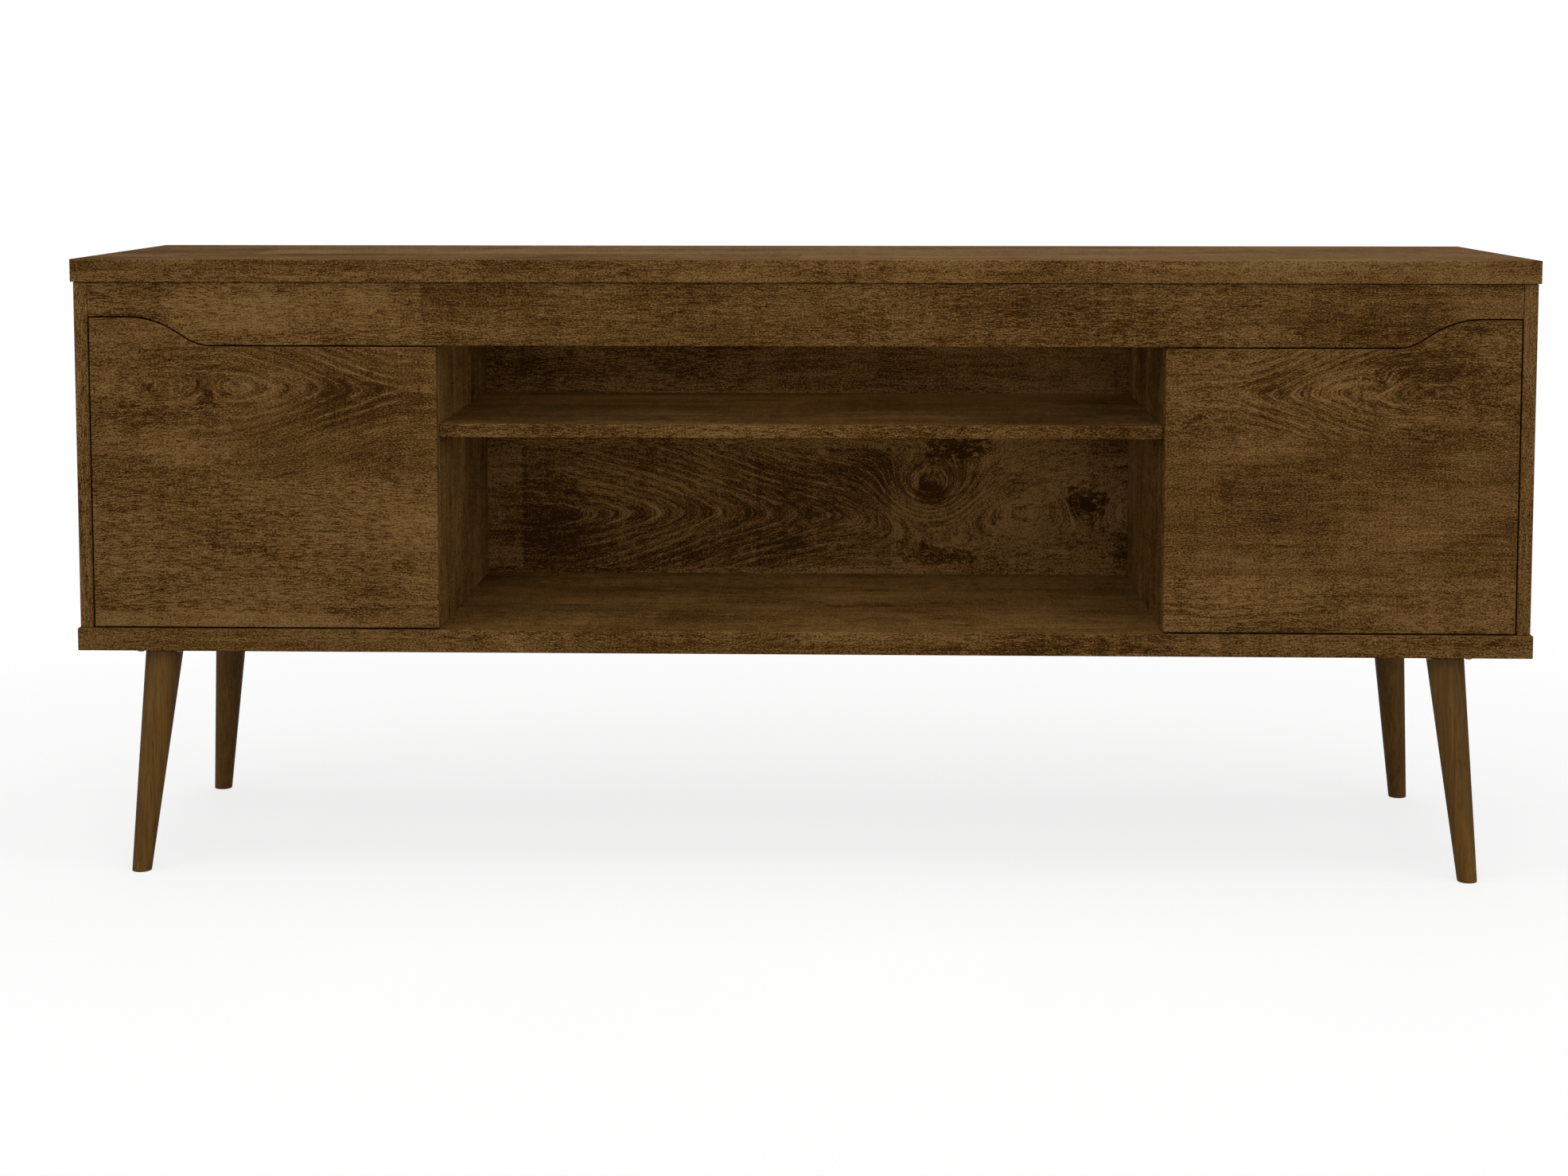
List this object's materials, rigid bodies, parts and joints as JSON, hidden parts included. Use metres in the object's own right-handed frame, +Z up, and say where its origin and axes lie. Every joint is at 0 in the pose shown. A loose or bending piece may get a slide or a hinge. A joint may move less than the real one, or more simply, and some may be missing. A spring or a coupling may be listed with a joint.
{
  "type": "tv stand with doors",
  "caption": "Low wood-print TV stand on splayed tapered legs: an open niche with a shelf between two cabinets with swing doors under an S-curved apron.",
  "frame": {"origin": "on the floor, below the middle of the case", "axes": "+X to the right seen from the front, +Y to the back, +Z up; the doors face -Y"},
  "size_m": [1.6, 0.4, 0.685],
  "materials": {
    "wood_print": "rustic dark brown wood-print foil, satin to matt",
    "back_board": "wood-print hardboard, matt",
    "leg_wood": "solid wood stained dark brown, satin",
    "dowel_wood": "plain fluted beech",
    "nickel_steel": "nickel-plated pressed steel",
    "zinc_steel": "zinc-plated",
    "bumper": "soft translucent pad"
  },
  "bodies": {
    "case": {"bottom_panel": "wood_print", "centre_back_panel": "back_board", "centre_shelf": "wood_print", "front_apron": "wood_print", "front_left_leg": "leg_wood", "front_left_leg_bolt": "zinc_steel", "front_left_leg_plate": "zinc_steel", "front_right_leg": "leg_wood", "front_right_leg_bolt": "zinc_steel", "front_right_leg_plate": "zinc_steel", "left_apron_dowel": "dowel_wood", "left_back_panel": "back_board", "left_divider": "wood_print", "left_divider_lower_cam": "zinc_steel", "left_divider_upper_cam": "zinc_steel", "left_front_shelf_dowel": "dowel_wood", "left_lower_door_bumper": "bumper", "left_lower_hinge_arm": "nickel_steel", "left_lower_hinge_plate": "nickel_steel", "left_rear_shelf_dowel": "dowel_wood", "left_side_panel": "wood_print", "left_side_panel_lower_cam": "zinc_steel", "left_side_panel_upper_cam": "zinc_steel", "left_upper_door_bumper": "bumper", "left_upper_hinge_arm": "nickel_steel", "left_upper_hinge_plate": "nickel_steel", "rear_left_leg": "leg_wood", "rear_left_leg_bolt": "zinc_steel", "rear_left_leg_plate": "zinc_steel", "rear_right_leg": "leg_wood", "rear_right_leg_bolt": "zinc_steel", "rear_right_leg_plate": "zinc_steel", "right_apron_dowel": "dowel_wood", "right_back_panel": "back_board", "right_divider": "wood_print", "right_divider_lower_cam": "zinc_steel", "right_divider_upper_cam": "zinc_steel", "right_front_shelf_dowel": "dowel_wood", "right_lower_door_bumper": "bumper", "right_lower_hinge_arm": "nickel_steel", "right_lower_hinge_plate": "nickel_steel", "right_rear_shelf_dowel": "dowel_wood", "right_side_panel": "wood_print", "right_side_panel_lower_cam": "zinc_steel", "right_side_panel_upper_cam": "zinc_steel", "right_upper_door_bumper": "bumper", "right_upper_hinge_arm": "nickel_steel", "right_upper_hinge_plate": "nickel_steel", "top_panel": "wood_print"},
    "left_door_leaf": {"left_door": "wood_print", "left_lower_hinge_cup": "nickel_steel", "left_lower_hinge_pin": "nickel_steel", "left_upper_hinge_cup": "nickel_steel", "left_upper_hinge_pin": "nickel_steel"},
    "right_door_leaf": {"right_door": "wood_print", "right_lower_hinge_cup": "nickel_steel", "right_lower_hinge_pin": "nickel_steel", "right_upper_hinge_cup": "nickel_steel", "right_upper_hinge_pin": "nickel_steel"}
  },
  "joints": [
    {"name": "left_door_hinge", "type": "hinge", "parent": "case", "child": "left_door_leaf", "pos_m": [-0.76142, -0.1904, 0.44925], "axis": [0, 0, -1], "range_deg": [0, 95]},
    {"name": "right_door_hinge", "type": "hinge", "parent": "case", "child": "right_door_leaf", "pos_m": [0.76142, -0.1904, 0.44925], "axis": [0, 0, 1], "range_deg": [0, 95]}
  ]
}
